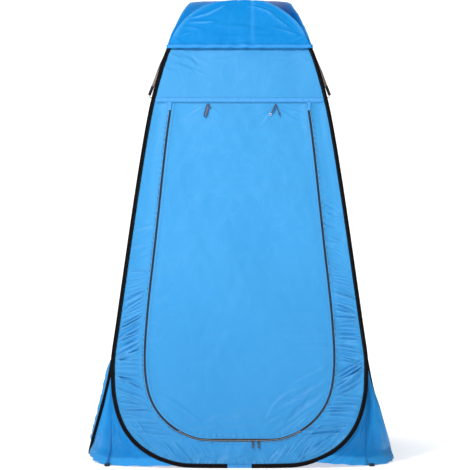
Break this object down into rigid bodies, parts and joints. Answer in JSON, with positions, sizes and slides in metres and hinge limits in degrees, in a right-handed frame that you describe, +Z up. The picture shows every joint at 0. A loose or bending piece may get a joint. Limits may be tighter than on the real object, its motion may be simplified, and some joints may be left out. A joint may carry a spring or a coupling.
{
  "type": "privacy shower tent",
  "caption": "Free-standing square tapered cabin tent with sprung fabric walls, a zipped roll-up door on the front and a lift-off rain cap over its roof.",
  "frame": {"origin": "middle of the footprint, on the ground", "axes": "+Z up, the door faces -Y, +X to the right of someone facing the door"},
  "size_m": [1.2614, 1.2614, 1.898],
  "materials": {
    "wall_cloth": "coated polyester, sky blue, slight sheen",
    "cap_cloth": "coated polyester, deeper blue, slight sheen",
    "binding": "black woven binding sleeve",
    "webbing": "black polypropylene webbing",
    "mesh": "dark knitted mesh",
    "spring_steel": "oiled spring steel",
    "zip": "dark woven zip tape with moulded coil",
    "slider_metal": "painted die-cast metal",
    "elastic": "beige flat elastic",
    "hook_plastic": "black moulded plastic",
    "tie_cloth": "blue cotton tape"
  },
  "bodies": {
    "tent": {"front_binding": "binding", "front_ferrule": "spring_steel", "front_header": "wall_cloth", "front_hoop_wire": "spring_steel", "front_joint_patch": "wall_cloth", "front_seam_tape": "wall_cloth", "front_surround": "wall_cloth", "gusset_front_left": "wall_cloth", "gusset_front_right": "wall_cloth", "gusset_rear_left": "wall_cloth", "gusset_rear_right": "wall_cloth", "left_binding": "binding", "left_ferrule": "spring_steel", "left_hoop_wire": "spring_steel", "left_joint_patch": "wall_cloth", "left_wall": "wall_cloth", "rear_binding": "binding", "rear_ferrule": "spring_steel", "rear_hoop_wire": "spring_steel", "rear_joint_patch": "wall_cloth", "rear_wall": "wall_cloth", "right_binding": "binding", "right_ferrule": "spring_steel", "right_hoop_wire": "spring_steel", "right_joint_patch": "wall_cloth", "right_wall": "wall_cloth", "roof_mesh": "mesh", "stake_loop_front_left": "webbing", "stake_loop_front_right": "webbing", "stake_loop_rear_left": "webbing", "stake_loop_rear_right": "webbing", "zip_outer_half": "zip", "zip_tab_left": "wall_cloth", "zip_tab_right": "wall_cloth"},
    "door": {"door_panel": "wall_cloth", "zip_inner_half": "zip"},
    "tie_left": {"door_tie_left_loop": "tie_cloth", "door_tie_left_tail": "elastic"},
    "tie_right": {"door_tie_right_strap": "tie_cloth", "door_tie_right_tail": "tie_cloth", "door_tie_right_ring": "hook_plastic"},
    "slider_left": {"slider_left": "slider_metal"},
    "slider_right": {"slider_right": "slider_metal"},
    "pull_left": {"pull_left": "slider_metal"},
    "pull_right": {"pull_right": "slider_metal"},
    "cap": {"rain_cap": "cap_cloth", "cap_hem": "cap_cloth"},
    "strap_front_left": {"cap_strap_front_left": "elastic", "strap_hook_front_left": "hook_plastic"},
    "strap_front_right": {"cap_strap_front_right": "elastic", "strap_hook_front_right": "hook_plastic"},
    "strap_rear_left": {"cap_strap_rear_left": "elastic", "strap_hook_rear_left": "hook_plastic"},
    "strap_rear_right": {"cap_strap_rear_right": "elastic", "strap_hook_rear_right": "hook_plastic"}
  },
  "joints": [
    {"name": "door_swing", "type": "hinge", "parent": "tent", "child": "door", "pos_m": [0, -0.35569, 1.46], "axis": [-1, 0, 0], "range_deg": [0, 100]},
    {"name": "tie_left_swing", "type": "hinge", "parent": "door", "child": "tie_left", "pos_m": [-0.127, -0.35851, 1.45331], "axis": [-1, 0, 0], "range_deg": [0, 70]},
    {"name": "tie_right_swing", "type": "hinge", "parent": "door", "child": "tie_right", "pos_m": [0.15, -0.35851, 1.45331], "axis": [-1, 0, 0], "range_deg": [0, 70]},
    {"name": "slider_left_slide", "type": "slide", "parent": "tent", "child": "slider_left", "axis": [-1, 0, 0], "range_m": [0, 0.17]},
    {"name": "slider_right_slide", "type": "slide", "parent": "tent", "child": "slider_right", "axis": [1, 0, 0], "range_m": [0, 0.05]},
    {"name": "pull_left_swing", "type": "hinge", "parent": "slider_left", "child": "pull_left", "pos_m": [0.053, -0.59983, 0.09752], "axis": [-1, 0, 0], "range_deg": [0, 150]},
    {"name": "pull_right_swing", "type": "hinge", "parent": "slider_right", "child": "pull_right", "pos_m": [0.076, -0.59983, 0.09752], "axis": [-1, 0, 0], "range_deg": [0, 150]},
    {"name": "cap_lift", "type": "slide", "parent": "tent", "child": "cap", "axis": [0, 0, 1], "range_m": [0, 0.3]},
    {"name": "strap_front_left_swing", "type": "hinge", "parent": "cap", "child": "strap_front_left", "pos_m": [-0.305, -0.25, 1.6852], "axis": [0, 1, 0], "range_deg": [0, 70]},
    {"name": "strap_front_right_swing", "type": "hinge", "parent": "cap", "child": "strap_front_right", "pos_m": [0.305, -0.25, 1.6852], "axis": [0, -1, 0], "range_deg": [0, 70]},
    {"name": "strap_rear_left_swing", "type": "hinge", "parent": "cap", "child": "strap_rear_left", "pos_m": [-0.305, 0.25, 1.6852], "axis": [0, 1, 0], "range_deg": [0, 70]},
    {"name": "strap_rear_right_swing", "type": "hinge", "parent": "cap", "child": "strap_rear_right", "pos_m": [0.305, 0.25, 1.6852], "axis": [0, -1, 0], "range_deg": [0, 70]}
  ]
}
